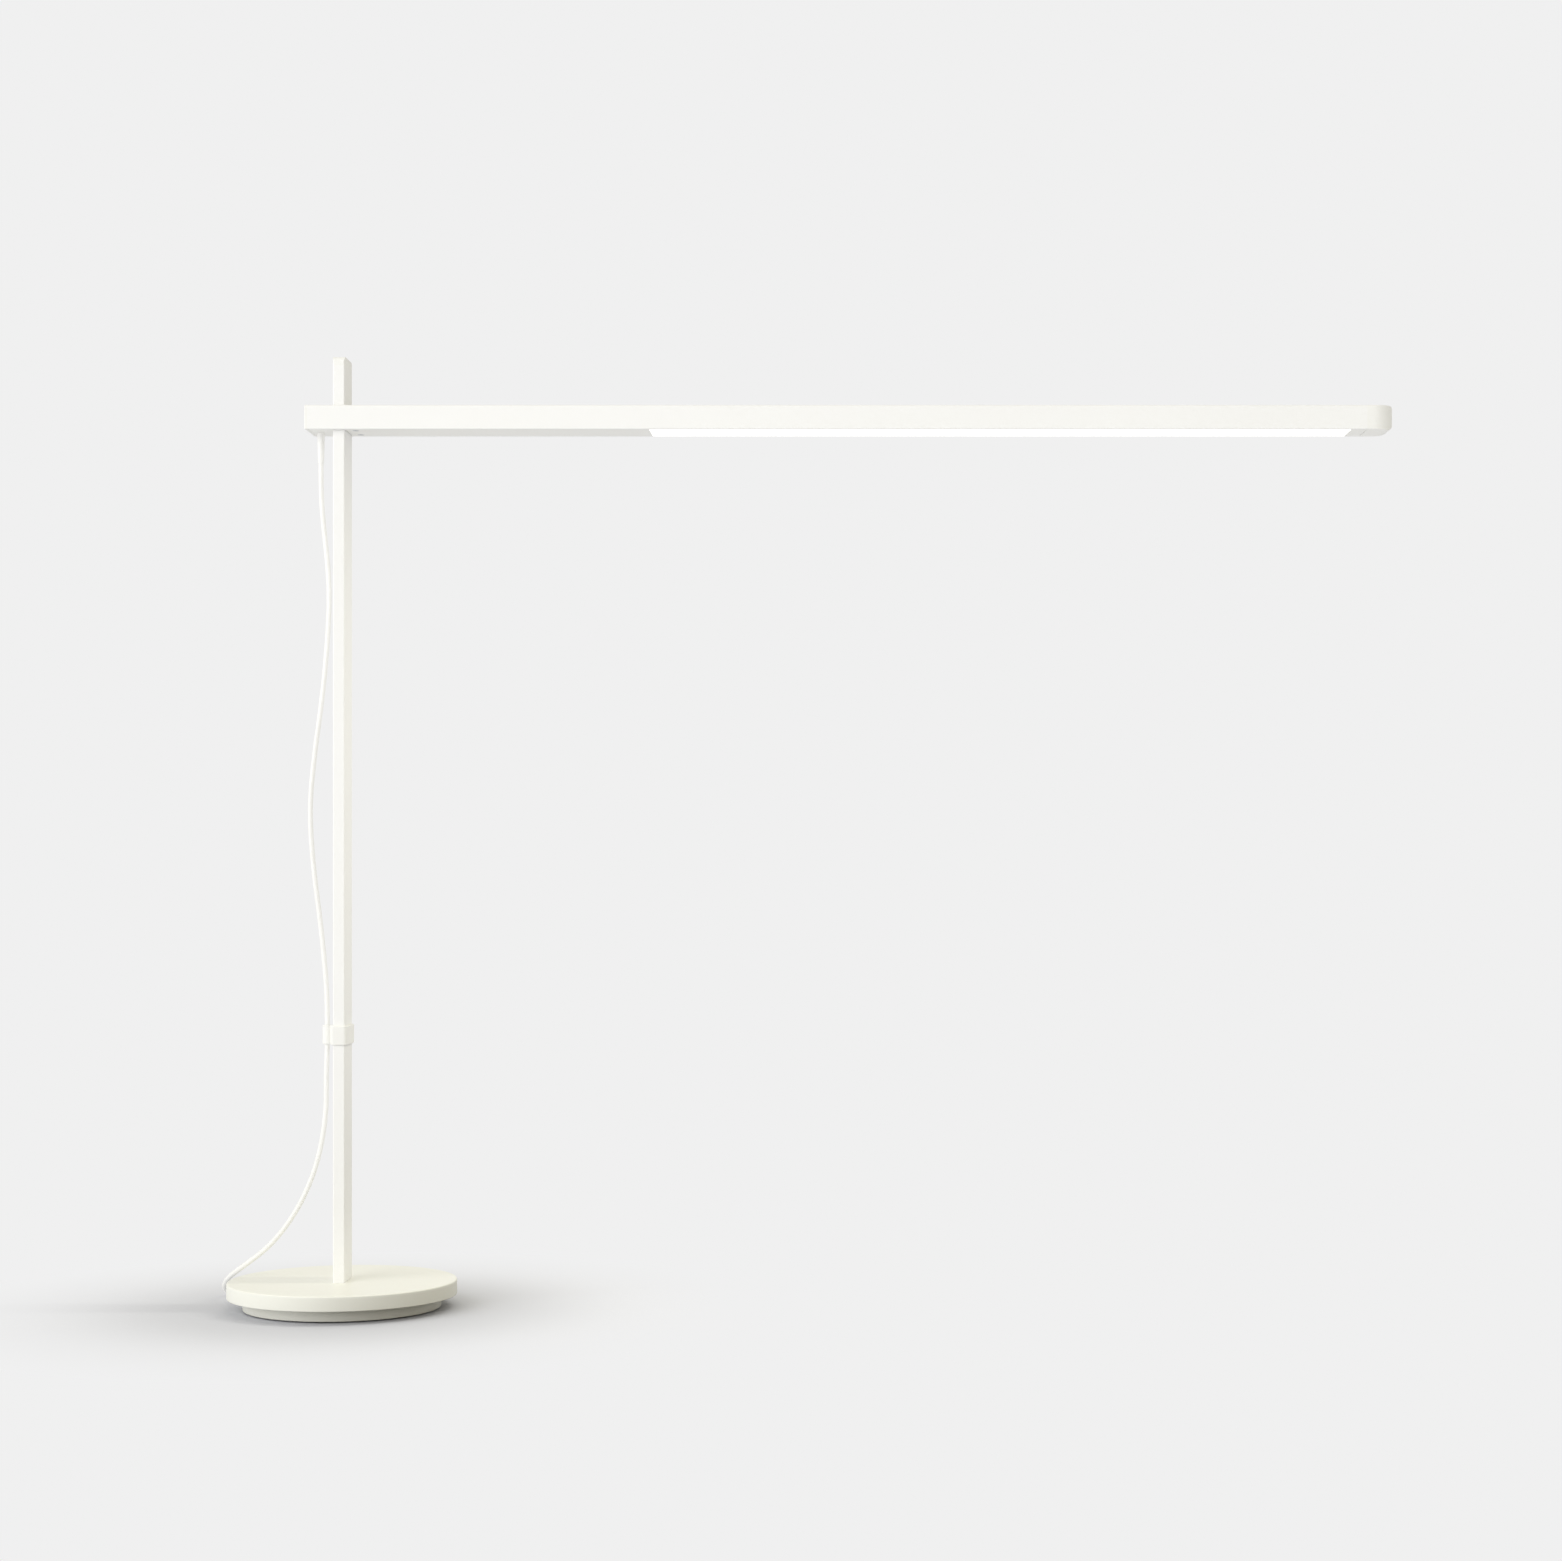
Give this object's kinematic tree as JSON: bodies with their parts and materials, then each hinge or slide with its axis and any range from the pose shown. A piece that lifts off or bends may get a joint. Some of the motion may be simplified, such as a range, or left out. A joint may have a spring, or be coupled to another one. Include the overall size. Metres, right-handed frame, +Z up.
{
  "type": "adjustable arm desk lamp",
  "caption": "White lamp whose long flat LED arm slides up and down a blade post on a round base that turns, with a cord clipped to the post.",
  "frame": {"origin": "centre of the foot pad's underside, on the table and on the post's axis", "axes": "+Z up the post, +X along the arm to its tip"},
  "size_m": [0.9394, 0.2406, 0.752],
  "materials": {
    "painted_steel": "smooth white powder coat",
    "painted_aluminium": "smooth white powder coat",
    "white_plastic": "fine satin",
    "milky_plastic": "milky, lit from behind",
    "reflector_plastic": "bright white",
    "bearing_plastic": "plain moulded",
    "steel": "bright zinc",
    "board": "white solder mask",
    "led": "yellow phosphor",
    "electronics": "black moulded",
    "lead": "flat insulated lead",
    "soft_rubber": "matt",
    "white_rubber": "matt",
    "tie_plastic": "thin strap",
    "plug_plastic": "moulded",
    "pin_metal": "nickel plated"
  },
  "bodies": {
    "foot": {"foot_pad": "soft_rubber", "foot_plate": "painted_steel", "swivel_bush": "bearing_plastic", "glide_ring": "bearing_plastic"},
    "turntable": {"base_disc": "painted_steel", "pivot_bolt": "steel", "pivot_washer": "steel", "post": "painted_aluminium", "post_cap": "white_plastic", "post_screws": "steel", "stop_pin": "steel", "cable_clip": "white_plastic", "cord_hang": "white_rubber", "cord_drop": "white_rubber", "cord_coil": "white_rubber", "cord_tail": "white_rubber", "coil_tie": "tie_plastic", "plug_body": "plug_plastic", "plug_pins": "pin_metal"},
    "arm": {"arm_channel": "painted_aluminium", "rear_cap": "white_plastic", "nose_cap": "white_plastic", "rear_cover": "white_plastic", "nose_cover": "white_plastic", "diffuser": "milky_plastic", "slider_block": "bearing_plastic", "brake_pads": "bearing_plastic", "brake_spring": "steel", "slider_screws": "steel", "led_board": "board", "leds": "led", "reflector": "reflector_plastic", "driver_board": "board", "driver_parts": "electronics", "touch_board": "board", "flat_lead": "lead", "link_lead": "lead", "cord_grommet": "white_rubber", "cord_inlet": "white_rubber", "terminal_block": "electronics"}
  },
  "joints": [
    {"name": "base_swivel", "type": "hinge", "parent": "foot", "child": "turntable", "pos_m": [0, 0, 0.0103], "axis": [0, 0, 1], "continuous": true},
    {"name": "arm_height", "type": "slide", "parent": "turntable", "child": "arm", "axis": [0, 0, 1], "range_m": [-0.35, 0], "deforming": ["cord_hang"]}
  ]
}
